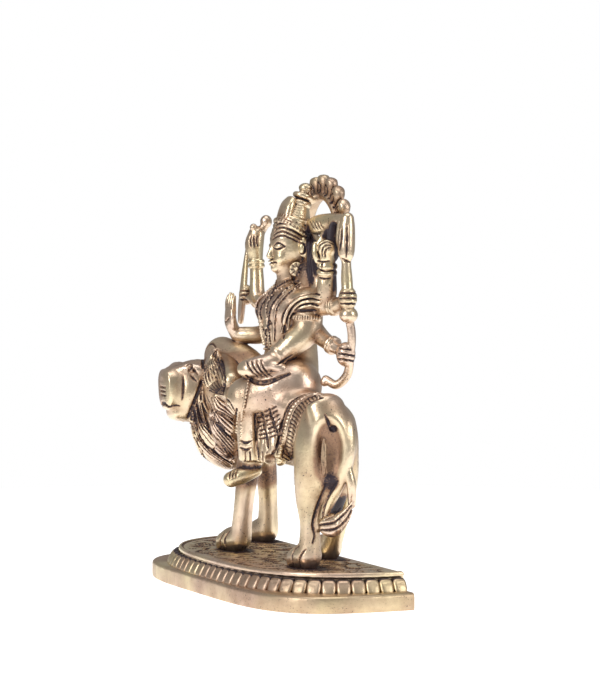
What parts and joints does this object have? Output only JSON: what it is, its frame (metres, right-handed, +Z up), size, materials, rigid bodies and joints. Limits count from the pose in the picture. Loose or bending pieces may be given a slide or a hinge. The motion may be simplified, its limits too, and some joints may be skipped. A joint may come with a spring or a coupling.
{
  "type": "durga figure",
  "caption": "Many-armed cast brass goddess seated sideways on a walking lion, with a petal arch behind the crown, on a D-shaped lotus plinth.",
  "frame": {"origin": "on the ground under the middle of the plinth's box", "axes": "+Z up; the lion walks towards -X; the goddess and the lion's face look towards -Y; the plinth's flat back is at +Y"},
  "size_m": [0.129, 0.045, 0.1313],
  "materials": {
    "brass": "cast brass, buffed on the high parts, dark brown antique patina left in the recesses",
    "plinth_brass": "the same cast brass, satin slab and lip, with a darker patina on the engraved top and between the petals"
  },
  "bodies": {
    "root": {"lion_and_goddess": "brass", "plinth": "plinth_brass"}
  },
  "joints": []
}
